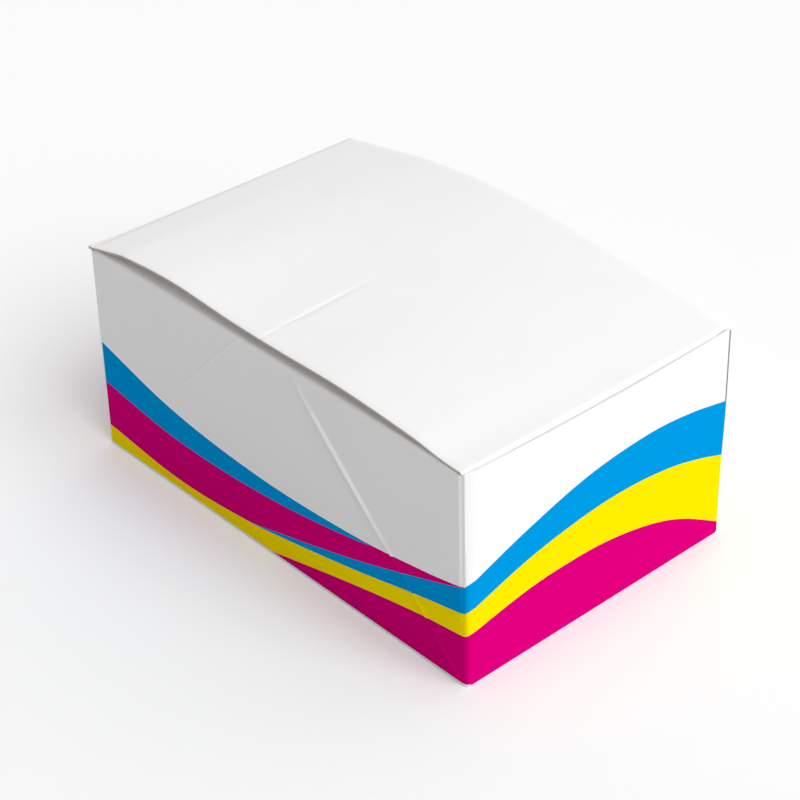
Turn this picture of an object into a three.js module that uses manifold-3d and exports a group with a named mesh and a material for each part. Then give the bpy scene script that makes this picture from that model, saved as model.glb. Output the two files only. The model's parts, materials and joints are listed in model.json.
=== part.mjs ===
// Counter display box: a one-piece carton of white paperboard with a hinged lid.
// The four walls are one band of board, folded at the corners and glued at a seam.
// The lid springs up in a low arch over two level dust flaps, and its front flap tucks in
// behind the front panel. Wavy fields of colour are printed round the lower walls.
// Millimetres, +Z up. The origin is the middle of the base; the front panel faces +X.

import * as THREE from 'three';
import * as BufferGeometryUtils from 'three/addons/utils/BufferGeometryUtils.js';
import Module from 'manifold-3d';

const wasm = await Module();
wasm.setup();

// Driving sizes of the carton
const length = 206;
const width = 130;
const height = 90;
const board = 0.9;
const foldRadius = 1.5;
const runningGap = 0.4;

// Glue seam: a tab on the left wall's back edge, inside the back panel
const seamWidth = 18;
const seamSlant = 8;

// Dust flaps on the top edges of the long walls
const dustFlapDepth = 38;
const dustFlapFrontGap = 13;
const dustFlapBackGap = 5;
const dustFlapTaper = 14;
const dustFlapRise = 0.8;

// Lid
const leftBow = 6.8;
const rightBow = 10.8;
const tuckDepth = 17;
const tuckLean = 1.8;
const tuckInset = 5;
const tuckTaper = 7;

// Print
const inkThickness = 0.1;

// Numbers of steps in the curved faces
const foldSteps = 5;
const lengthSteps = 24;
const widthSteps = 4;
const printStep = 7;

const wallTop = height - board - runningGap;
const lidFront = length / 2 - board - runningGap;

const plan = new THREE.Matrix4();
const sideOn = new THREE.Matrix4().makeBasis(
  new THREE.Vector3(1, 0, 0),
  new THREE.Vector3(0, 0, 1),
  new THREE.Vector3(0, -1, 0),
);
const endOn = new THREE.Matrix4().makeBasis(
  new THREE.Vector3(0, 1, 0),
  new THREE.Vector3(0, 0, 1),
  new THREE.Vector3(1, 0, 0),
);

// A smooth height curve through a few points, each a pair of position and height.
function curveThrough(points) {
  const slopeAt = (i) => {
    const before = points[Math.max(i - 1, 0)];
    const after = points[Math.min(i + 1, points.length - 1)];
    return (after[1] - before[1]) / (after[0] - before[0]);
  };
  return (position) => {
    let i = 0;
    while (i < points.length - 2 && position > points[i + 1][0]) {
      i += 1;
    }
    const [start, startHeight] = points[i];
    const [end, endHeight] = points[i + 1];
    const span = end - start;
    const t = Math.min(Math.max((position - start) / span, 0), 1);
    const startPull = slopeAt(i) * span;
    const endPull = slopeAt(i + 1) * span;
    return startHeight * (2 * t ** 3 - 3 * t ** 2 + 1)
      + startPull * (t ** 3 - 2 * t ** 2 + t)
      + endHeight * (3 * t ** 2 - 2 * t ** 3)
      + endPull * (t ** 3 - t ** 2);
  };
}

function toSolid(geometry) {
  const bare = new THREE.BufferGeometry();
  bare.setAttribute('position', geometry.getAttribute('position').clone());
  if (geometry.index) {
    bare.setIndex(geometry.index.clone());
  }
  const merged = BufferGeometryUtils.mergeVertices(bare, 1e-4);
  return new wasm.Manifold(new wasm.Mesh({
    numProp: 3,
    vertProperties: new Float32Array(merged.getAttribute('position').array),
    triVerts: new Uint32Array(merged.index.array),
  }));
}

function toGeometry(solid) {
  const mesh = solid.getMesh();
  const geometry = new THREE.BufferGeometry();
  geometry.setAttribute('position', new THREE.BufferAttribute(new Float32Array(mesh.vertProperties), 3));
  geometry.setIndex(new THREE.BufferAttribute(new Uint32Array(mesh.triVerts), 1));
  geometry.computeVertexNormals();
  return geometry;
}

// A prism: an outline in the plane of the given basis, with its span centred on the middle.
function prism(outline, span, basis, middle = 0) {
  const shape = new THREE.Shape(outline);
  const geometry = new THREE.ExtrudeGeometry(shape, { depth: span, bevelEnabled: false });
  geometry.translate(0, 0, middle - span / 2);
  geometry.applyMatrix4(basis);
  return geometry;
}

// A folded sheet seen on its edge. The corners lie on its outer face, each fold turns left,
// and the thickness lies on the left. Returns matching points of the outer and inner faces.
function foldedSheet(corners, radius, thickness) {
  const outer = [];
  const inner = [];
  const leftOf = (direction) => new THREE.Vector2(-direction.y, direction.x);
  corners.forEach((corner, i) => {
    const before = corners[i - 1];
    const after = corners[i + 1];
    const arriving = before ? corner.clone().sub(before).normalize() : null;
    const leaving = after ? after.clone().sub(corner).normalize() : arriving;
    const turn = arriving ? Math.atan2(arriving.cross(leaving), arriving.dot(leaving)) : 0;
    if (Math.abs(turn) < 1e-3) {
      outer.push(corner.clone());
      inner.push(corner.clone().addScaledVector(leftOf(leaving), thickness));
      return;
    }
    const reach = radius * Math.tan(turn / 2);
    const inwards = leftOf(arriving);
    const centre = corner.clone().addScaledVector(arriving, -reach).addScaledVector(inwards, radius);
    for (let step = 0; step <= foldSteps; step += 1) {
      const spoke = inwards.clone().rotateAround(new THREE.Vector2(), turn * step / foldSteps);
      outer.push(centre.clone().addScaledVector(spoke, -radius));
      inner.push(centre.clone().addScaledVector(spoke, thickness - radius));
    }
  });
  return { outer, inner };
}

function sheetOutline(corners) {
  const { outer, inner } = foldedSheet(corners, foldRadius, board);
  return [...outer, ...inner.reverse()];
}

// A closed curved sheet between two matching grids of points.
function closedSheet(face, back) {
  const rows = face.length;
  const columns = face[0].length;
  const points = [...face.flat(), ...back.flat()];
  const indexOf = (side, row, column) => (side * rows + row) * columns + column;
  const triangles = [];
  const quad = (a, b, c, d) => triangles.push(a, b, c, a, c, d);
  for (let r = 0; r < rows - 1; r += 1) {
    for (let c = 0; c < columns - 1; c += 1) {
      quad(indexOf(0, r, c), indexOf(0, r + 1, c), indexOf(0, r + 1, c + 1), indexOf(0, r, c + 1));
      quad(indexOf(1, r, c), indexOf(1, r, c + 1), indexOf(1, r + 1, c + 1), indexOf(1, r + 1, c));
    }
  }
  for (let r = 0; r < rows - 1; r += 1) {
    const last = columns - 1;
    quad(indexOf(0, r, 0), indexOf(1, r, 0), indexOf(1, r + 1, 0), indexOf(0, r + 1, 0));
    quad(indexOf(0, r, last), indexOf(0, r + 1, last), indexOf(1, r + 1, last), indexOf(1, r, last));
  }
  for (let c = 0; c < columns - 1; c += 1) {
    const last = rows - 1;
    quad(indexOf(0, 0, c), indexOf(0, 0, c + 1), indexOf(1, 0, c + 1), indexOf(1, 0, c));
    quad(indexOf(0, last, c), indexOf(1, last, c), indexOf(1, last, c + 1), indexOf(0, last, c + 1));
  }
  const geometry = new THREE.BufferGeometry();
  geometry.setAttribute('position', new THREE.Float32BufferAttribute(points.flatMap((p) => p.toArray()), 3));
  geometry.setIndex(triangles);
  return geometry;
}

// Height of the lid's arch above its flat state. Shares run from the hinge to the front fold.
const leftArch = curveThrough([
  [0, 0], [0.065, 0.46], [0.11, 0.74], [0.25, 1], [0.42, 0.765], [0.55, 0.71], [0.7, 0.735],
  [0.88, 0.4], [0.95, 0.1], [1, 0],
]);
const rightArch = curveThrough([
  [0, 0], [0.14, 0.46], [0.25, 0.78], [0.43, 1], [0.6, 0.87], [0.79, 0.53], [0.9, 0.27], [1, 0],
]);

function archHeight(x, y) {
  const share = (x + length / 2) / (lidFront + length / 2);
  const left = leftBow * leftArch(share);
  const right = rightBow * rightArch(share);
  return THREE.MathUtils.lerp(left, right, y / width + 0.5);
}

// Outline of a rectangle with rounded corners, seen from above
function roundedRectangle(long, wide, radius) {
  const points = [];
  const middles = [[1, 1], [-1, 1], [-1, -1], [1, -1]];
  middles.forEach(([alongX, alongY], quarter) => {
    for (let step = 0; step <= foldSteps; step += 1) {
      const angle = (quarter + step / foldSteps) * Math.PI / 2;
      points.push(new THREE.Vector2(
        alongX * (long / 2 - radius) + radius * Math.cos(angle),
        alongY * (wide / 2 - radius) + radius * Math.sin(angle),
      ));
    }
  });
  return points;
}

// The four walls as one folded band, from the top of the base fold to the top edge
function wallBand() {
  const rise = wallTop - foldRadius;
  const middle = (wallTop + foldRadius) / 2;
  const around = toSolid(prism(roundedRectangle(length, width, foldRadius), rise, plan, middle));
  const inside = roundedRectangle(length - 2 * board, width - 2 * board, foldRadius - board);
  return around.subtract(toSolid(prism(inside, rise + 2 * board, plan, middle)));
}

function seamTab() {
  const edge = -width / 2 + board / 2;
  const end = -width / 2 + seamWidth;
  return toSolid(prism([
    new THREE.Vector2(edge, foldRadius),
    new THREE.Vector2(end, foldRadius + seamSlant),
    new THREE.Vector2(end, wallTop - seamSlant),
    new THREE.Vector2(edge, wallTop),
  ], board, endOn, -length / 2 + 1.5 * board));
}

// Dust flap: folded in level from the top edge of a long wall, under the lid's arch
function dustFlap(side) {
  const top = wallTop + dustFlapRise;
  const { outer, inner } = foldedSheet([
    new THREE.Vector2(0, wallTop - foldRadius),
    new THREE.Vector2(0, top),
    new THREE.Vector2(-dustFlapDepth, top),
  ], foldRadius, board);
  const ends = [
    (taper) => -length / 2 + dustFlapBackGap + taper,
    (taper) => length / 2 - dustFlapFrontGap - taper,
  ];
  const rowsOf = (profile) => ends.map((xAt) => profile.map((point) => {
    const taper = -point.x * dustFlapTaper / dustFlapDepth;
    return new THREE.Vector3(xAt(taper), side * (width / 2 + point.x), point.y);
  }));
  const face = rowsOf(outer);
  const back = rowsOf(inner);
  return side < 0 ? closedSheet(face, back) : closedSheet(back, face);
}

function carton() {
  const halfLength = length / 2;
  const halfWidth = width / 2;
  const endPanels = toSolid(prism(sheetOutline([
    new THREE.Vector2(-halfLength, wallTop),
    new THREE.Vector2(-halfLength, 0),
    new THREE.Vector2(halfLength, 0),
    new THREE.Vector2(halfLength, height),
  ]), width - 2 * foldRadius, sideOn));
  const longPanels = toSolid(prism(sheetOutline([
    new THREE.Vector2(-halfWidth, wallTop),
    new THREE.Vector2(-halfWidth, 0),
    new THREE.Vector2(halfWidth, 0),
    new THREE.Vector2(halfWidth, wallTop),
  ]), length - 2 * foldRadius, endOn));
  return [
    longPanels,
    wallBand(),
    seamTab(),
    toSolid(dustFlap(-1)),
    toSolid(dustFlap(1)),
  ].reduce((joined, piece) => joined.add(piece), endPanels);
}

// Lid: the arched top panel with its tuck flap folded down at the front
function lid() {
  const stations = [];
  for (let i = 1; i <= lengthSteps; i += 1) {
    const x = THREE.MathUtils.lerp(lidFront - 2 * foldRadius, -length / 2, (i - 1) / (lengthSteps - 1));
    stations.push(new THREE.Vector2(x, height));
  }
  const { outer, inner } = foldedSheet([
    new THREE.Vector2(lidFront - tuckLean, height - tuckDepth),
    new THREE.Vector2(lidFront, height),
    ...stations,
  ], foldRadius, board);
  const rowOf = (point) => {
    const row = [];
    for (let j = 0; j <= widthSteps; j += 1) {
      const y = width * (j / widthSteps - 0.5);
      row.push(new THREE.Vector3(point.x, y, point.y + archHeight(point.x, y)));
    }
    return row;
  };
  const sheet = toSolid(closedSheet(inner.map(rowOf), outer.map(rowOf)));
  const notchTop = height - board;
  const tip = height - tuckDepth - board;
  const tuckHalf = width / 2 - tuckInset;
  const notch = prism([
    new THREE.Vector2(tuckHalf, notchTop),
    new THREE.Vector2(tuckHalf - tuckTaper, tip),
    new THREE.Vector2(width / 2 + board, tip),
    new THREE.Vector2(width / 2 + board, notchTop),
  ], 2 * (foldRadius + tuckLean), endOn, lidFront);
  const otherNotch = notch.clone().rotateZ(Math.PI).translate(2 * lidFront, 0, 0);
  return sheet.subtract(toSolid(notch)).subtract(toSolid(otherNotch));
}

// Print lines on the unrolled walls, each a list of points from one end of its wall to the other:
// a share of the wall's length and a share of the carton's height. Left to right is as seen from
// outside, so the left wall runs from back to front and the right wall from front to back.
const printLines = {
  left: {
    crest: [[0, 0.54], [0.22, 0.415], [0.47, 0.365], [0.72, 0.385], [0.9, 0.44], [1, 0.485]],
    upper: [[0, 0.334], [0.22, 0.271], [0.47, 0.284], [0.72, 0.366], [0.85, 0.45], [1, 0.55]],
    middle: [[0, 0.107], [0.22, 0.06], [0.42, 0.09], [0.52, 0.143], [0.72, 0.267], [0.88, 0.388], [1, 0.485]],
    lower: [[0, 0.12], [0.22, 0.08], [0.42, 0.09], [0.49, 0.112], [0.72, 0.216], [0.88, 0.302], [1, 0.36]],
    foot: [[0, -0.1], [0.4, -0.04], [0.52, 0.031], [0.72, 0.139], [0.88, 0.213], [1, 0.252]],
  },
  front: {
    crest: [[0, 0.485], [0.23, 0.6], [0.46, 0.686], [0.69, 0.716], [0.85, 0.7], [1, 0.66]],
    lower: [[0, 0.36], [0.23, 0.455], [0.46, 0.506], [0.62, 0.512], [0.78, 0.488], [0.9, 0.446], [1, 0.398]],
    foot: [[0, 0.252], [0.23, 0.309], [0.4, 0.32], [0.54, 0.309], [0.71, 0.261], [0.84, 0.191], [1, 0.06]],
  },
  right: {
    crest: [[0, 0.66], [0.2, 0.55], [0.5, 0.43], [0.75, 0.4], [1, 0.42]],
    upper: [[0, 0.85], [0.2, 0.6], [0.5, 0.34], [0.75, 0.25], [1, 0.22]],
    middle: [[0, 0.66], [0.2, 0.46], [0.5, 0.2], [0.75, 0.1], [1, 0.08]],
    lower: [[0, 0.398], [0.2, 0.27], [0.45, 0.14], [0.6, 0.11], [1, 0.1]],
    foot: [[0, 0.06], [0.1, -0.02], [1, -0.2]],
  },
  back: {
    crest: [[0, 0.42], [0.5, 0.49], [1, 0.54]],
    upper: [[0, 0.22], [0.5, 0.29], [1, 0.334]],
    middle: [[0, 0.08], [0.5, 0.1], [1, 0.107]],
  },
};

// The bands from the crest down, each with the line that ends it below
const bands = [
  { name: 'upper_cyan', ink: 'cyan', until: 'upper' },
  { name: 'upper_magenta', ink: 'magenta', until: 'middle' },
  { name: 'lower_cyan', ink: 'cyan', until: 'lower' },
  { name: 'yellow', ink: 'yellow', until: 'foot' },
  { name: 'lower_magenta', ink: 'magenta', until: 'margin' },
];

const paperColour = 0xf3f2f0;
const inkColours = { cyan: 0x00a0e9, magenta: 0xe4007f, yellow: 0xfff100 };

// Upper and lower edges of each band at one place on a wall. A line never rises above the one
// over it, and a line that a wall lacks lies on its neighbour, so its band has no height there.
function bandEdges(lines, share) {
  const margin = foldRadius;
  let over = Math.max(curveThrough(lines.crest)(share) * height, margin);
  return bands.map((band) => {
    const fallback = band.until === 'foot' || band.until === 'margin' ? margin : over;
    const own = lines[band.until] ? curveThrough(lines[band.until])(share) * height : fallback;
    const under = Math.max(Math.min(own, over), margin);
    const edges = { over, under };
    over = under;
    return edges;
  });
}

// Outline of one band on one wall: the stretch where it has height, with a tip at each end
// where it runs out.
function bandOutline(wall, index) {
  const stations = Math.ceil((wall.run - 2 * foldRadius) / printStep);
  const edges = [];
  for (let i = 0; i <= stations; i += 1) {
    const along = THREE.MathUtils.lerp(foldRadius, wall.run - foldRadius, i / stations);
    edges.push({ along, ...bandEdges(printLines[wall.name], along / wall.run)[index] });
  }
  const isOpen = (edge) => edge !== undefined && edge.over - edge.under > inkThickness;
  const kept = edges.filter((edge, i) => isOpen(edge) || isOpen(edges[i - 1]) || isOpen(edges[i + 1]));
  const place = (edge, level) => new THREE.Vector2(edge.along - wall.run / 2, level);
  const underSide = kept.map((edge) => place(edge, edge.under));
  const overSide = kept.filter(isOpen).map((edge) => place(edge, edge.over));
  return [...underSide, ...overSide.reverse()];
}

const walls = [
  { name: 'left', run: length, reach: width / 2, basis: sideOn, turn: 0 },
  { name: 'front', run: width, reach: length / 2, basis: endOn, turn: 0 },
  { name: 'right', run: length, reach: width / 2, basis: sideOn, turn: Math.PI },
  { name: 'back', run: width, reach: length / 2, basis: endOn, turn: Math.PI },
];

function paperMaterial() {
  return new THREE.MeshStandardMaterial({ color: paperColour, roughness: 0.6, metalness: 0 });
}

function inkMaterial(ink) {
  return new THREE.MeshStandardMaterial({ color: inkColours[ink], roughness: 0.5, metalness: 0 });
}

const box = new THREE.Group();

function addMesh(name, geometry, material) {
  const mesh = new THREE.Mesh(geometry, material);
  mesh.name = name;
  box.add(mesh);
  return mesh;
}

addMesh('carton', toGeometry(carton()), paperMaterial());
addMesh('lid', toGeometry(lid()), paperMaterial());

walls.forEach((wall) => {
  bands.forEach((band, index) => {
    const outline = bandOutline(wall, index);
    if (outline.length < 3) {
      return;
    }
    const field = prism(outline, inkThickness, wall.basis, wall.reach + inkThickness / 2);
    addMesh(`print_${wall.name}_${band.name}`, field, inkMaterial(band.ink)).rotation.z = wall.turn;
  });
});

export default box;
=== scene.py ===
# Looks of the counter display box: a white paperboard carton with a hinged, arched lid.
# Sizes are in millimetres and are turned into metres where meshes are made.
import json
import math

import bmesh
import bpy
import numpy as np
from mathutils import Matrix, Vector


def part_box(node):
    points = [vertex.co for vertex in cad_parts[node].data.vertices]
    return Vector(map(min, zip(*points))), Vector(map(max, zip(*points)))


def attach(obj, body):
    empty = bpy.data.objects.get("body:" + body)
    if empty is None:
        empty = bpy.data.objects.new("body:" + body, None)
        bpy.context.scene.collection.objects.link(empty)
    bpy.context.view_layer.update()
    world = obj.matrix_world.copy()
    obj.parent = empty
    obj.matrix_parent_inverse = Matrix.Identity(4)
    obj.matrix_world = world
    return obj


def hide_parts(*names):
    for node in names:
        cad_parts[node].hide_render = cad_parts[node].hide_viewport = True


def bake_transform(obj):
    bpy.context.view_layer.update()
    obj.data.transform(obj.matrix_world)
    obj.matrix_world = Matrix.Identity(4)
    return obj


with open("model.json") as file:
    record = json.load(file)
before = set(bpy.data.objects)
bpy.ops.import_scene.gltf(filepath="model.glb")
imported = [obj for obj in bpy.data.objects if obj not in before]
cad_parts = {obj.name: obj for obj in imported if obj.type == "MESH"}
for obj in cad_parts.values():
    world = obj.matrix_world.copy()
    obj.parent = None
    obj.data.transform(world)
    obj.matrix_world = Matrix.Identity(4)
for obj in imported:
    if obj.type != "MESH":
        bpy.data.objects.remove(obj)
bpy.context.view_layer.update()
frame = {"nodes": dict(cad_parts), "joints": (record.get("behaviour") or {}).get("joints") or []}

MM = 0.001

# Board and folds
BOARD = 0.9
FOLD = 1.5
GAP = 0.4
EDGE_ROUND = 0.28
ROUND_SEGMENTS = 2
ROUND_FROM_DEGREES = 65
SHARP_FROM_DEGREES = 38

# Overall sizes, from the frame
carton_low, carton_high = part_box("carton")
hinge = Vector(frame["joints"][0]["pos_m"]) / MM
LENGTH = (carton_high.x - carton_low.x) / MM
WIDTH = (carton_high.y - carton_low.y) / MM
HEIGHT = hinge.z + BOARD
WALL_TOP = HEIGHT - BOARD - GAP
LID_FRONT = LENGTH / 2 - BOARD - GAP

# The front panel leans: its foot stands out past its top edge, which sags in the middle
FOOT_LEAN = 0.9
FRONT_SAG = 1.9
SAG_POWER = 0.7

# Dust flaps, folded in from the long walls. They spring up by a share of the lid's arch, and
# the wall's top edge rises a little beside them.
FLAP_DEPTH = 38
FLAP_FRONT_GAP = 13
FLAP_BACK_GAP = 2.5
FLAP_TAPER = 14
FLAP_RISE = 0.8
FLAP_SPRING = 0.3
FLAP_FOLD = 1.0
END_RISE = 0.6
FLAP_TOP = WALL_TOP + FLAP_RISE
SHOULDER = FLAP_TOP - FLAP_FOLD

# Glue seam, inside the back panel
SEAM_WIDTH = 18
SEAM_SLANT = 8
SEAM_GAP = 0.02

# Lid
LEFT_BOW = 6.8
RIGHT_BOW = 10.8
TUCK_DEPTH = 17
TUCK_LEAN = 1.8
TUCK_INSET = 5
TUCK_TAPER = 7
LID_CREASE_X = -1.4
LID_CREASE_REACH = 44
LID_CREASE_DEPTH = 0.22
LID_CREASE_DEEPER = 0.14
LID_CREASE_WIDTH = 1.3
LID_CREASE_SHARP = 0.4
HINGE_FLARE = 2.0
HINGE_FLARE_REACH = 20

# Mesh density
LONG_STEPS = 70
SHORT_STEPS = 44
FOLD_STEPS = 8
FLAP_STEPS = 16
SEAM_STEPS = 8
LID_STEPS = 36
LID_CROSS_STEPS = 44
TUCK_STEPS = 8
HINGE_STEPS = 60
WELD = 0.015

# Surface slots
PAPER, CYAN, MAGENTA, YELLOW, RAW, INSIDE, SHADOW = range(7)


def curve_through(points):
    """A smooth curve through pairs of position and height."""
    def slope(i):
        before, after = points[max(i - 1, 0)], points[min(i + 1, len(points) - 1)]
        return (after[1] - before[1]) / (after[0] - before[0])

    def height(position):
        i = 0
        while i < len(points) - 2 and position > points[i + 1][0]:
            i += 1
        (start, low), (end, high) = points[i], points[i + 1]
        span = end - start
        t = min(max((position - start) / span, 0), 1)
        return (
            low * (2 * t**3 - 3 * t**2 + 1)
            + slope(i) * span * (t**3 - 2 * t**2 + t)
            + high * (3 * t**2 - 2 * t**3)
            + slope(i + 1) * span * (t**3 - t**2)
        )

    return height


def smooth(low, high, value):
    t = min(max((value - low) / (high - low), 0), 1)
    return t * t * (3 - 2 * t)


# Print lines, as shares of each wall's length and of the height, seen from outside
PRINT_LINES = {
    "left": {
        "crest": [(0, 0.54), (0.22, 0.415), (0.47, 0.365), (0.72, 0.385), (0.9, 0.44), (1, 0.485)],
        "upper": [(0, 0.334), (0.22, 0.271), (0.47, 0.284), (0.72, 0.366), (0.85, 0.45), (1, 0.55)],
        "middle": [(0, 0.107), (0.22, 0.06), (0.42, 0.09), (0.52, 0.143), (0.72, 0.267),
                   (0.88, 0.388), (1, 0.485)],
        "lower": [(0, 0.12), (0.22, 0.08), (0.42, 0.09), (0.49, 0.112), (0.72, 0.216),
                  (0.88, 0.302), (1, 0.36)],
        "foot": [(0, -0.1), (0.4, -0.04), (0.52, 0.031), (0.72, 0.139), (0.88, 0.213), (1, 0.252)],
    },
    "front": {
        "crest": [(0, 0.485), (0.23, 0.6), (0.46, 0.686), (0.69, 0.716), (0.85, 0.7), (1, 0.66)],
        "lower": [(0, 0.36), (0.23, 0.455), (0.46, 0.506), (0.62, 0.512), (0.78, 0.488),
                  (0.9, 0.446), (1, 0.398)],
        "foot": [(0, 0.252), (0.23, 0.309), (0.4, 0.32), (0.54, 0.309), (0.71, 0.261),
                 (0.84, 0.191), (1, 0.06)],
    },
    "right": {
        "crest": [(0, 0.66), (0.2, 0.55), (0.5, 0.43), (0.75, 0.4), (1, 0.42)],
        "upper": [(0, 0.85), (0.2, 0.6), (0.5, 0.34), (0.75, 0.25), (1, 0.22)],
        "middle": [(0, 0.66), (0.2, 0.46), (0.5, 0.2), (0.75, 0.1), (1, 0.08)],
        "lower": [(0, 0.398), (0.2, 0.27), (0.45, 0.14), (0.6, 0.11), (1, 0.1)],
        "foot": [(0, 0.06), (0.1, -0.02), (1, -0.2)],
    },
    "back": {
        "crest": [(0, 0.42), (0.5, 0.49), (1, 0.54)],
        "upper": [(0, 0.22), (0.5, 0.29), (1, 0.334)],
        "middle": [(0, 0.08), (0.5, 0.1), (1, 0.107)],
    },
}
LINE_ORDER = ("crest", "upper", "middle", "lower", "foot")
BAND_INKS = (CYAN, MAGENTA, CYAN, YELLOW, MAGENTA)
PRINT_CURVES = {
    wall: {name: curve_through(points) for name, points in lines.items()}
    for wall, lines in PRINT_LINES.items()
}


def print_levels(wall, share):
    """Heights of the print lines at one place on a wall, from the crest down to the margin."""
    curves = PRINT_CURVES[wall]
    levels = []
    for name in LINE_ORDER:
        over = levels[-1] if levels else HEIGHT
        if name in curves:
            own = curves[name](share) * HEIGHT
        else:
            own = FOLD if name == "foot" else over
        levels.append(max(min(own, over), FOLD))
    return levels + [FOLD]


left_arch = curve_through([(0, 0), (0.065, 0.46), (0.11, 0.74), (0.25, 1), (0.42, 0.765),
                           (0.55, 0.71), (0.7, 0.735), (0.88, 0.4), (0.95, 0.1), (1, 0)])
right_arch = curve_through([(0, 0), (0.14, 0.46), (0.25, 0.78), (0.43, 1), (0.6, 0.87),
                            (0.79, 0.53), (0.9, 0.27), (1, 0)])


def arch(x, y):
    """Rise of the lid above its flat state."""
    share = (x + LENGTH / 2) / (LID_FRONT + LENGTH / 2)
    across = y / WIDTH + 0.5
    return LEFT_BOW * left_arch(share) * (1 - across) + RIGHT_BOW * right_arch(share) * across


def new_object(name, vertices, faces, slots, materials):
    """A mesh object from points in millimetres, with a slot number for each face."""
    mesh = bpy.data.meshes.new(name)
    mesh.from_pydata([tuple(c * MM for c in v) for v in vertices], [], faces)
    for material in materials:
        mesh.materials.append(material)
    mesh.polygons.foreach_set("material_index", slots)
    thing = bpy.data.objects.new(name, mesh)
    bpy.context.scene.collection.objects.link(thing)
    return thing


def thicken(thing):
    """Gives a sheet its thickness, inwards, with raw board on the cut edges and a plain inside."""
    solid = thing.modifiers.new("board", "SOLIDIFY")
    solid.thickness = BOARD * MM
    solid.offset = -1
    solid.use_even_offset = True
    solid.use_rim = True
    solid.material_offset = INSIDE - PAPER
    solid.material_offset_rim = RAW - PAPER


def finish_mesh(thing):
    """Adds the thickness and rounds the cut edges, whose white face rolls over a little."""
    thicken(thing)
    edge = thing.modifiers.new("edge", "BEVEL")
    edge.width = EDGE_ROUND * MM
    edge.segments = ROUND_SEGMENTS
    edge.limit_method = "ANGLE"
    edge.angle_limit = math.radians(ROUND_FROM_DEGREES)
    edge.material = PAPER
    bpy.context.view_layer.update()
    evaluated = thing.evaluated_get(bpy.context.evaluated_depsgraph_get())
    mesh = bpy.data.meshes.new_from_object(evaluated)
    thing.modifiers.clear()
    thing.data = mesh
    mesh.name = thing.name
    mesh.shade_smooth()
    mesh.set_sharp_from_angle(angle=math.radians(SHARP_FROM_DEGREES))


# Plan sections of the two front corners, as x and y from the corner of the carton, at the top
# and at the foot. The left one goes from the left wall to the front panel: a strip of the wall
# stands back by half a millimetre, and the panel curves back to meet it. From LEFT_TURN on it
# carries the front panel's print. The right one goes from the front panel to the right wall,
# past which a narrow lip stands out. Its unprinted faces are painted dark, a painted shade for
# the shadow along that edge. Both end in a plain fold at the foot, and the fades are the
# heights between which the foot's section turns into the top's.
LEFT_BEAD_TOP = [(-3.3, 0), (-3.15, 0.02), (-2.65, 0.45), (-2.5, 0.52), (-1.9, 0.56), (-1.3, 0.6),
                 (-1.1, 0.7), (-0.75, 1.5), (-0.35, 2.9), (0, 4.5)]
LEFT_BEAD_FOOT = [(-3.3, 0), (-3.1, 0.01), (-2.6, 0.05), (-2.1, 0.11), (-1.6, 0.22), (-1.0, 0.42),
                  (-0.6, 0.66), (-0.25, 1.1), (-0.06, 1.7), (0, 4.5)]
LEFT_TURN = 0.7
LEFT_FADE = (15, 60)
RIGHT_BEAD_TOP = [(0, -1.3), (-0.02, -0.6), (-0.15, -0.5), (-0.2, 0.0), (-0.25, 0.45), (-0.8, 0.3),
                  (-1.6, 0)]
RIGHT_BEAD_FOOT = [(0, -1.3), (-0.03, -0.95), (-0.15, -0.66), (-0.38, -0.38), (-0.66, -0.15),
                   (-1.0, -0.03), (-1.6, 0)]
RIGHT_FADE = (20, 60)

BAND_ROWS = 3
UPPER_ROWS = 9


def lean(x, y, z):
    """Moves a point of the front end out with the leaning front panel."""
    share = max(x / (LENGTH / 2), 0)
    return (x + FOOT_LEAN * share * (1 - min(z / HEIGHT, 1)), y, z)


def column(place, levels, top=None):
    """Points of the outer face at one place on the walls, from the base up to the shoulder.

    place gives x and y at a height. Where top is given, one more point stands at that height.
    """
    half_long, half_wide = LENGTH / 2 - FOLD, WIDTH / 2 - FOLD
    points = []
    for k in range(FOLD_STEPS + 1):
        angle = k / FOLD_STEPS * math.pi / 2
        x, y = place(0)
        base_x = min(max(x, -half_long), half_long)
        base_y = min(max(y, -half_wide), half_wide)
        out = math.sin(angle)
        points.append((base_x + (x - base_x) * out, base_y + (y - base_y) * out,
                       FOLD * (1 - math.cos(angle))))
    stops = levels[::-1]
    for low, high in zip(stops, stops[1:]):
        for k in range(1, BAND_ROWS + 1):
            z = low + (high - low) * k / BAND_ROWS
            points.append((*place(z), z))
    shoulder = SHOULDER if top is None else min(SHOULDER, top - FLAP_FOLD)
    for k in range(1, UPPER_ROWS + 1):
        z = stops[-1] + (shoulder - stops[-1]) * k / UPPER_ROWS
        points.append((*place(z), z))
    if top is not None:
        points.append((*place(top), top))
    return [lean(*point) for point in points]


def row_slot(row, next_to_front):
    """Slot of a row of faces, counted up from the base."""
    if row < FOLD_STEPS:
        return MAGENTA if next_to_front and row > 2 else PAPER
    band = (row - FOLD_STEPS) // BAND_ROWS
    return BAND_INKS[::-1][band] if band < len(BAND_INKS) else PAPER


def stations(run, start, end, steps, stops=()):
    """Places along a wall from start to end, with a close pair at each end and at each stop."""
    fixed = [start, start + FOLD / 2, *stops, run - end - FOLD / 2, run - end]
    places = [fixed[0]]
    for low, high in zip(fixed, fixed[1:]):
        count = max(1, round((high - low) / run * steps))
        places += [low + (high - low) * k / count for k in range(1, count + 1)]
    return places


def front_top(place):
    """Height of the front panel's top edge."""
    share = min(max(place[1] / WIDTH + 0.5, 0), 1)
    return HEIGHT - FRONT_SAG * math.sin(math.pi * share) ** SAG_POWER


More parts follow.
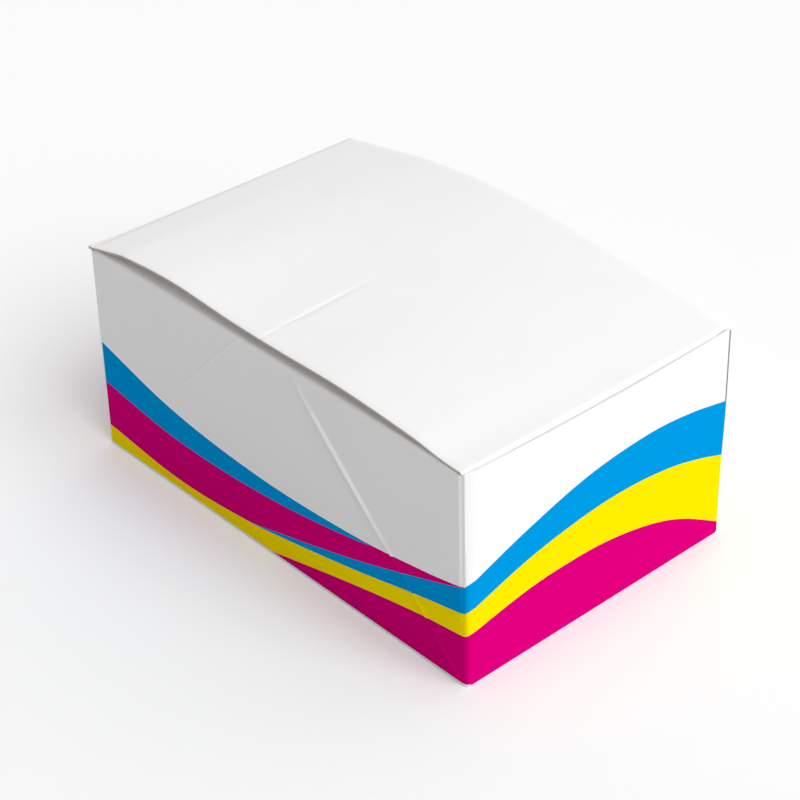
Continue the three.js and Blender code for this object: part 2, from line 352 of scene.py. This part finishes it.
def end_top(place):
    """Height of a long wall's top edge beside its dust flap, or None where the flap begins."""
    x = place[0]
    from_back = x + LENGTH / 2 - FLAP_BACK_GAP
    from_front = LENGTH / 2 - FLAP_FRONT_GAP - x
    if min(from_back, from_front) > GAP:
        return None
    if from_back <= GAP:
        share = max(1 + from_back / FLAP_BACK_GAP, 0)
    else:
        share = 1 + from_front / FLAP_FRONT_GAP
    return WALL_TOP + END_RISE * smooth(0, 1, share)


def round_corner(middle, start_degrees):
    """Places on a fold of even radius between two walls."""
    places = []
    for k in range(1, FOLD_STEPS):
        angle = math.radians(start_degrees + 90 * k / FOLD_STEPS)
        places.append((middle[0] + FOLD * math.cos(angle), middle[1] + FOLD * math.sin(angle)))
    return [lambda z, place=place: place for place in places]


def bead_corner(corner, top_section, foot_section, fade):
    """Places on a worn fold, whose section changes with the height."""
    def place_of(top, foot):
        def place(z):
            t = smooth(*fade, z)
            return tuple(c + b + (a - b) * t for c, a, b in zip(corner, top, foot))
        return place
    return [place_of(*pair) for pair in zip(top_section[1:-1], foot_section[1:-1])]


def wall_band():
    """Columns of points round the four walls, each with the name of its stretch."""
    half_long, half_wide = LENGTH / 2, WIDTH / 2
    bead_long, bead_wide = -LEFT_BEAD_TOP[0][0], LEFT_BEAD_TOP[-1][1]
    strip_wide, strip_long = -RIGHT_BEAD_TOP[0][1], -RIGHT_BEAD_TOP[-1][0]
    long_stops = [FLAP_BACK_GAP, LENGTH - FLAP_FRONT_GAP]
    left_levels = [
        print_levels("left", 1 + x / LENGTH) if y < LEFT_TURN else print_levels("front", y / WIDTH)
        for x, y in LEFT_BEAD_TOP[1:-1]
    ]
    right_levels = [
        print_levels("front", 1 + y / WIDTH) if y < 0 else print_levels("right", -x / LENGTH)
        for x, y in RIGHT_BEAD_TOP[1:-1]
    ]
    columns = []

    def add_wall(name, places, run, place_of, top_of):
        for along in places:
            place = place_of(along)
            columns.append((name, column(lambda z: place, print_levels(name, along / run),
                                         top_of(place))))

    def add_corner(name, places, levels, tops):
        for k, place in enumerate(places):
            t = (k + 1) / (len(places) + 1)
            top = tops[0] + (tops[1] - tops[0]) * smooth(0, 1, t)
            columns.append((name, column(place, levels[k], top)))

    add_wall("left", stations(LENGTH, FOLD, bead_long, LONG_STEPS, long_stops), LENGTH,
             lambda along: (-half_long + along, -half_wide), end_top)
    add_corner("corner",
               bead_corner((half_long, -half_wide), LEFT_BEAD_TOP, LEFT_BEAD_FOOT, LEFT_FADE),
               left_levels, (WALL_TOP, HEIGHT - GAP))
    add_wall("front", stations(WIDTH, bead_wide, strip_wide, SHORT_STEPS), WIDTH,
             lambda along: (half_long, -half_wide + along), front_top)
    add_corner("raw",
               bead_corner((half_long, half_wide), RIGHT_BEAD_TOP, RIGHT_BEAD_FOOT, RIGHT_FADE),
               right_levels, (HEIGHT - GAP, WALL_TOP))
    add_wall("right", stations(LENGTH, strip_long, FOLD, LONG_STEPS,
                               [LENGTH - stop for stop in long_stops[::-1]]), LENGTH,
             lambda along: (half_long - along, half_wide), end_top)
    add_corner("corner", round_corner((-half_long + FOLD, half_wide - FOLD), 90),
               [print_levels("back", 0)] * FOLD_STEPS, (WALL_TOP, WALL_TOP))
    add_wall("back", stations(WIDTH, FOLD, FOLD, SHORT_STEPS), WIDTH,
             lambda along: (-half_long, half_wide - along), lambda place: None)
    add_corner("bare", round_corner((-half_long + FOLD, -half_wide + FOLD), 180),
               [print_levels("left", 0)] * FOLD_STEPS, (WALL_TOP, WALL_TOP))
    return columns


def flap_rows(side, along):
    """Rows of a dust flap from the shoulder of its wall inwards, over the given places in x."""
    first, last = -LENGTH / 2 + FLAP_BACK_GAP, LENGTH / 2 - FLAP_FRONT_GAP
    profile = []
    for k in range(FOLD_STEPS + 1):
        angle = k / FOLD_STEPS * math.pi / 2
        profile.append((FLAP_FOLD * (1 - math.cos(angle)), SHOULDER + FLAP_FOLD * math.sin(angle)))
    for k in range(1, FLAP_STEPS + 1):
        profile.append((FLAP_FOLD + (FLAP_DEPTH - FLAP_FOLD) * k / FLAP_STEPS, FLAP_TOP))
    rows = []
    for inward, z in profile:
        taper = FLAP_TAPER * inward / FLAP_DEPTH
        narrowed = (last - first - 2 * taper) / (last - first)
        lift = FLAP_SPRING * smooth(-1, 7, inward) * (1 - smooth(9, FLAP_DEPTH, inward))
        row = []
        for x in along:
            spring = lift * max(arch(x, side * WIDTH / 2), 0) * smooth(0, 1, inward)
            narrowed_x = first + taper + (x - first) * narrowed
            row.append((narrowed_x, side * (WIDTH / 2 - inward), z + spring))
        rows.append(row)
    return rows


def seam_rows():
    """Rows of the glue tab, which lies against the inside of the back panel."""
    x = -LENGTH / 2 + BOARD + SEAM_GAP
    rows = []
    for k in range(SEAM_STEPS + 1):
        across = k / SEAM_STEPS
        y = -WIDTH / 2 + BOARD + (SEAM_WIDTH - BOARD) * across
        low = FOLD + SEAM_SLANT * across
        high = SHOULDER - SEAM_SLANT * across
        rows.append([(x, y, low + (high - low) * j / SEAM_STEPS) for j in range(SEAM_STEPS + 1)])
    return rows


def carton_mesh(materials):
    """The folded sheet: walls, base and dust flaps, with their print and creases."""
    bm = bmesh.new()
    wall_layer = bm.faces.layers.int.new("wall")
    wall_ids = {"left": 1, "right": 2}

    def quad(corners, slot, wall_id=0):
        face = bm.faces.new(corners)
        face.material_index = slot
        face[wall_layer] = wall_id

    def grid(rows):
        made_rows = [[bm.verts.new(point) for point in row] for row in rows]
        for low, high in zip(made_rows, made_rows[1:]):
            for c in range(len(low) - 1):
                quad((low[c], low[c + 1], high[c + 1], high[c]), PAPER)

    made = [(name, [bm.verts.new(point) for point in points]) for name, points in wall_band()]
    for (name, here), (next_name, there) in zip(made, made[1:] + made[:1]):
        names = (name, next_name)
        wall_id = wall_ids.get(name, 0) if name == next_name else 0
        for r in range(min(len(here), len(there)) - 1):
            slot = row_slot(r, "front" in names)
            if "bare" in names:
                slot = PAPER
            # Painted shade: the lip's unprinted faces get the dark edge_shadow colour in place of
            # white paper.
            if names == ("raw", "raw") and slot == PAPER:
                slot = SHADOW
            quad((here[r], there[r], there[r + 1], here[r + 1]), slot, wall_id)
    quad([points[0] for _, points in made][::-1], PAPER)

    first, last = -LENGTH / 2 + FLAP_BACK_GAP, LENGTH / 2 - FLAP_FRONT_GAP
    for side, name in ((-1, "left"), (1, "right")):
        inside = [points[-1].co.x for wall, points in made
                  if wall == name and first - GAP < points[-1].co.x < last + GAP]
        grid(flap_rows(side, inside))
    grid(seam_rows())
    bmesh.ops.remove_doubles(bm, verts=bm.verts, dist=WELD)
    bmesh.ops.dissolve_degenerate(bm, edges=bm.edges, dist=0.001)

    for crease in WALL_CREASES:
        press_crease(bm, wall_layer, wall_ids, crease)

    bmesh.ops.scale(bm, vec=(MM, MM, MM), verts=bm.verts)
    mesh = bpy.data.meshes.new("carton_board")
    bm.to_mesh(mesh)
    bm.free()
    for material in materials:
        mesh.materials.append(material)
    thing = bpy.data.objects.new("carton_board", mesh)
    bpy.context.scene.collection.objects.link(thing)
    finish_mesh(thing)
    whiten_rims_and_paint_slit_shade(thing.data)
    return thing


def whiten_rims_and_paint_slit_shade(mesh):
    """The cut rims beside the lid's front fold get the white paper colour in place of the raw edge
    colour, and the front arris gets a painted shade for the slit under the fold.
    """
    flap_front = LENGTH / 2 - FLAP_FRONT_GAP
    slit_shade_reach = WIDTH * 0.43
    slit_shade_slope = 0.3
    for face in mesh.polygons:
        x, y, z = (c / MM for c in face.center)
        if z <= SHOULDER - 2 * BOARD:
            continue
        outer = abs(y) > WIDTH / 2 - 2 * BOARD or x > LENGTH / 2 - 2 * BOARD
        if face.material_index == RAW and outer and x > flap_front - GAP:
            face.material_index = PAPER
        # Painted shade: arris faces that face forwards and up are coloured dark to stand for the
        # shadow in the slit under the lid's front fold.
        slope = min(face.normal.x, face.normal.z)
        if slope > slit_shade_slope and abs(y) < slit_shade_reach:
            face.material_index = SHADOW


# Creases across the long walls at 45 degrees, along which the carton folds flat. Each one
# starts at a lower corner. Its strength is a curve over the share of the height.
CREASE_RISE = 0.9
CREASE_LIT_WIDTH = 1.1
CREASE_DARK_WIDTH = 0.3
CREASE_OFFSETS = (-2 * CREASE_DARK_WIDTH, -CREASE_DARK_WIDTH, 0,
                  CREASE_LIT_WIDTH, 1.5 * CREASE_LIT_WIDTH)
WALL_CREASES = [
    {"wall": wall, "end": end, "strength": curve_through(points)}
    for wall, end, points in (
        ("left", 1, [(0, 0.6), (0.12, 0.7), (0.2, 0.4), (0.4, 0.5), (0.55, 1), (0.85, 1),
                     (0.97, 0.5), (1, 0)]),
        ("left", -1, [(0, 0), (0.55, 0), (0.65, 0.35), (0.95, 0.35), (1, 0)]),
        ("right", 1, [(0, 0.3), (0.5, 0.8), (1, 0.3)]),
        ("right", -1, [(0, 0.2), (0.6, 0.5), (1, 0.3)]),
    )
]


def press_crease(bm, wall_layer, wall_ids, crease):
    """Cuts edges along a crease and raises a fine ridge there."""
    end = crease["end"]
    across = Vector((end, 0, 1)).normalized()
    start = Vector((end * LENGTH / 2, 0, 0))
    wall_id = wall_ids[crease["wall"]]
    outwards = -1 if crease["wall"] == "left" else 1
    for offset in CREASE_OFFSETS:
        faces = [face for face in bm.faces if face[wall_layer] == wall_id]
        edges = {edge for face in faces for edge in face.edges}
        verts = {vert for face in faces for vert in face.verts}
        bmesh.ops.bisect_plane(bm, geom=[*verts, *edges, *faces], dist=1e-4,
                               plane_co=start + across * offset, plane_no=across)
    touched = {vert for face in bm.faces if face[wall_layer] == wall_id for vert in face.verts}
    for vert in touched:
        offset = (vert.co - start).dot(across)
        width = CREASE_LIT_WIDTH if offset > 0 else CREASE_DARK_WIDTH
        ridge = max(0, 1 - abs(offset) / width)
        strength = crease["strength"](vert.co.z / SHOULDER)
        vert.co.y += outwards * CREASE_RISE * ridge * strength


def lid_mesh(materials):
    """The arched top panel with its tuck flap."""
    back = -LENGTH / 2 + FOLD
    front = LID_FRONT - FOLD
    crease_lines = [LID_CREASE_X + d for d in (-3, -1.3, -0.65, 0, 0.35, 0.7, 1.3, 3)]
    along = list(np.linspace(back, crease_lines[0], LID_STEPS)[:-1]) + crease_lines
    along += list(np.linspace(crease_lines[-1], front - FOLD / 2, LID_STEPS)[1:])
    profile = [(x, HEIGHT) for x in along]
    for k in range(FOLD_STEPS + 1):
        angle = k / FOLD_STEPS * math.pi / 2
        profile.append((front + FOLD * math.sin(angle), HEIGHT - FOLD + FOLD * math.cos(angle)))
    for k in range(1, TUCK_STEPS + 1):
        share = k / TUCK_STEPS
        drop = FOLD + (TUCK_DEPTH - FOLD) * share
        profile.append((LID_FRONT - TUCK_LEAN * share, HEIGHT - drop))
    vertices, faces, slots = [], [], []
    for x, z in profile:
        below = HEIGHT - z
        inset = 0 if below < BOARD else TUCK_INSET + TUCK_TAPER * (below - BOARD) / TUCK_DEPTH
        for k in range(LID_CROSS_STEPS + 1):
            y = (k / LID_CROSS_STEPS - 0.5) * (WIDTH - 2 * inset)
            vertices.append((x, y, z + arch(x, y) - lid_crease(x, y)))
    wide = LID_CROSS_STEPS + 1
    for r in range(len(profile) - 1):
        for c in range(LID_CROSS_STEPS):
            a = r * wide + c
            faces.append((a, a + wide, a + wide + 1, a + 1))
            slots.append(PAPER)
    thing = new_object("lid_board", vertices, faces, slots, materials)
    finish_mesh(thing)
    return thing


def lid_crease(x, y):
    """Depth of the crease across the lid: sharp at the left edge, then wider, then gone."""
    from_edge = y + WIDTH / 2
    offset = x - LID_CREASE_X
    wide = smooth(14, 20, from_edge)
    fade = 1 - smooth(LID_CREASE_REACH * 0.6, LID_CREASE_REACH * 1.4, from_edge)
    depth = (LID_CREASE_DEPTH + LID_CREASE_DEEPER * wide) * fade
    width = LID_CREASE_WIDTH
    if offset >= 0:
        width = LID_CREASE_SHARP + (LID_CREASE_WIDTH - LID_CREASE_SHARP) * wide
    return depth * max(0, 1 - abs(offset) / width)


def hinge_fold(materials):
    """The scored fold between the back panel and the lid. It swells backwards at its left end."""
    middle = (-LENGTH / 2 + FOLD, HEIGHT - FOLD)
    path = [(-LENGTH / 2, SHOULDER, 0)]
    for k in range(FOLD_STEPS + 1):
        angle = k / FOLD_STEPS * math.pi / 2
        swell = smooth(0, 0.5, k / FOLD_STEPS) * (1 - smooth(0.5, 1, k / FOLD_STEPS))
        path.append((middle[0] - FOLD * math.cos(angle), middle[1] + FOLD * math.sin(angle), swell))
    vertices, faces, slots = [], [], []
    for k in range(HINGE_STEPS + 1):
        share = k / HINGE_STEPS
        flare = HINGE_FLARE * math.exp(-share * WIDTH / HINGE_FLARE_REACH)
        for x, z, swell in path:
            half = WIDTH / 2 - FOLD * (1 - smooth(SHOULDER, HEIGHT, z))
            y = (2 * share - 1) * half
            vertices.append((x - flare * swell, y, z + arch(x, y)))
    high = len(path)
    for c in range(HINGE_STEPS):
        for r in range(high - 1):
            a = c * high + r
            faces.append((a, a + 1, a + high + 1, a + high))
            slots.append(PAPER)
    thing = new_object("hinge_fold", vertices, faces, slots, materials)
    finish_mesh(thing)
    return thing


def add_node(tree, kind, **inputs):
    node = tree.nodes.new(kind)
    for name, value in inputs.items():
        node.inputs[name.replace("_", " ")].default_value = value
    return node


def board_material(name, colour, roughness, variation=0.015, grain=0.02, specular=0.4):
    """Board or ink: a colour with faint mottling and a fine paper grain."""
    material = bpy.data.materials.new(name)
    material.use_nodes = True
    tree = material.node_tree
    shader = tree.nodes["Principled BSDF"]
    shader.inputs["Specular IOR Level"].default_value = specular
    place = tree.nodes.new("ShaderNodeTexCoord")

    mottle = add_node(tree, "ShaderNodeTexNoise", Scale=55.0, Detail=3.0)
    tree.links.new(place.outputs["Object"], mottle.inputs["Vector"])
    tint = tree.nodes.new("ShaderNodeMix")
    tint.data_type = "RGBA"
    tint.inputs["A"].default_value = (*[c * (1 - variation) for c in colour], 1)
    tint.inputs["B"].default_value = (*[min(c * (1 + variation), 1) for c in colour], 1)
    tree.links.new(mottle.outputs["Fac"], tint.inputs["Factor"])
    tree.links.new(tint.outputs["Result"], shader.inputs["Base Color"])

    fibres = add_node(tree, "ShaderNodeTexNoise", Scale=1400.0, Detail=4.0)
    tree.links.new(place.outputs["Object"], fibres.inputs["Vector"])
    rough = add_node(tree, "ShaderNodeMapRange", To_Min=roughness - 0.05, To_Max=roughness + 0.05)
    tree.links.new(fibres.outputs["Fac"], rough.inputs["Value"])
    tree.links.new(rough.outputs["Result"], shader.inputs["Roughness"])
    bump = add_node(tree, "ShaderNodeBump", Strength=grain, Distance=0.0002)
    tree.links.new(fibres.outputs["Fac"], bump.inputs["Height"])
    tree.links.new(bump.outputs["Normal"], shader.inputs["Normal"])
    return material


def make_camera():
    """The photograph's camera, fitted to the corners of the box. Lengths are in metres."""
    data = bpy.data.cameras.new("camera")
    camera = bpy.data.objects.new("camera", data)
    bpy.context.scene.collection.objects.link(camera)
    image_width = 800
    focal_pixels = 2254.9
    data.sensor_width = 36
    data.lens = focal_pixels / image_width * data.sensor_width
    look = Vector((-0.62197, 0.55360, -0.55378)).normalized()
    right = look.cross(Vector((-0.40037, 0.38295, 0.83250))).normalized()
    up = right.cross(look)
    turn = Matrix((right, up, -look)).transposed()
    place = Vector((0.5308, -0.4733, 0.5129))
    camera.matrix_world = Matrix.Translation(place) @ turn.to_4x4()
    bpy.context.scene.camera = camera


def make_light():
    """A soft studio: one wide, slightly cool lamp from the front, and a slightly warm world,
    which is dim on the left and bright on the right."""
    dim_side, bright_side = 0.31, 1.4
    lamp = bpy.data.lights.new("key", "SUN")
    lamp.energy = 2.3
    lamp.color = (0.93, 1.0, 1.02)
    lamp.angle = math.radians(50)
    key = bpy.data.objects.new("key", lamp)
    bpy.context.scene.collection.objects.link(key)
    elevation = math.radians(45)
    towards_key = Vector((math.cos(elevation), 0, math.sin(elevation)))
    key.rotation_euler = towards_key.to_track_quat("Z", "Y").to_euler()

    world = bpy.data.worlds.new("studio")
    bpy.context.scene.world = world
    world.use_nodes = True
    tree = world.node_tree
    backdrop = tree.nodes["Background"]
    place = tree.nodes.new("ShaderNodeTexCoord")
    axes = tree.nodes.new("ShaderNodeSeparateXYZ")
    tree.links.new(place.outputs["Generated"], axes.inputs["Vector"])
    glow = add_node(tree, "ShaderNodeMapRange", To_Min=dim_side, To_Max=bright_side)
    tree.links.new(axes.outputs["Y"], glow.inputs["Value"])

    # The camera, and mirror-like surfaces, see a plain white backdrop
    rays = tree.nodes.new("ShaderNodeLightPath")
    seen = rays.outputs["Is Camera Ray"]
    for name in ("Is Glossy Ray", "Is Transmission Ray"):
        either = tree.nodes.new("ShaderNodeMath")
        either.operation = "MAXIMUM"
        tree.links.new(seen, either.inputs[0])
        tree.links.new(rays.outputs[name], either.inputs[1])
        seen = either.outputs["Value"]
    strength = add_node(tree, "ShaderNodeMix", B=1.0)
    tree.links.new(seen, strength.inputs["Factor"])
    tree.links.new(glow.outputs["Result"], strength.inputs["A"])
    tree.links.new(strength.outputs["Result"], backdrop.inputs["Strength"])
    tint = tree.nodes.new("ShaderNodeMix")
    tint.data_type = "RGBA"
    tint.inputs["A"].default_value = (1, 0.935, 0.925, 1)
    tint.inputs["B"].default_value = (1, 1, 1, 1)
    tree.links.new(seen, tint.inputs["Factor"])
    tree.links.new(tint.outputs["Result"], backdrop.inputs["Color"])


def make_floor():
    """A floor that keeps the shadow and is lifted to white for the camera alone."""
    size = 2.5
    lift = 0.145
    mesh = bpy.data.meshes.new("floor")
    corners = [(-size, -size, 0), (size, -size, 0), (size, size, 0), (-size, size, 0)]
    mesh.from_pydata(corners, [], [(0, 1, 2, 3)])
    floor = bpy.data.objects.new("floor", mesh)
    bpy.context.scene.collection.objects.link(floor)
    material = bpy.data.materials.new("floor")
    material.use_nodes = True
    shader = material.node_tree.nodes["Principled BSDF"]
    shader.inputs["Base Color"].default_value = (0.8, 0.8, 0.8, 1)
    shader.inputs["Roughness"].default_value = 0.9
    shader.inputs["Specular IOR Level"].default_value = 0.1
    shader.inputs["Emission Color"].default_value = (1, 1, 1, 1)
    rays = material.node_tree.nodes.new("ShaderNodeLightPath")
    white = add_node(material.node_tree, "ShaderNodeMapRange", To_Max=lift)
    material.node_tree.links.new(rays.outputs["Is Camera Ray"], white.inputs["Value"])
    material.node_tree.links.new(white.outputs["Result"], shader.inputs["Emission Strength"])
    mesh.materials.append(material)


make_camera()
make_light()
make_floor()

materials = [
    board_material("paper_white", (0.87, 0.865, 0.86), 0.5),
    board_material("ink_cyan", (0.0, 0.29, 0.68), 0.42, specular=0.0),
    board_material("ink_magenta", (0.66, 0.0, 0.185), 0.42, specular=0.0),
    board_material("ink_yellow", (0.93, 0.73, 0.0), 0.42, specular=0.0),
    board_material("board_edge", (0.5, 0.44, 0.38), 0.8, variation=0.12, grain=0.2),
    board_material("board_inside", (0.72, 0.7, 0.66), 0.75, variation=0.04, grain=0.08),
    # Painted shade: a dark colour that stands for the shadow on the right corner's lip and in the
    # slit under the lid's front fold.
    board_material("edge_shadow", (0.22, 0.2, 0.185), 0.8, variation=0.05),
]

carton = carton_mesh(materials)
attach(carton, "carton")
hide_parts("carton", *[node for node in frame["nodes"] if node.startswith("print_")])

lid = lid_mesh(materials)
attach(lid, "lid")
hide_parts("lid")

fold = hinge_fold(materials)
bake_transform(fold)

bpy.context.scene.view_settings.view_transform = "Standard"
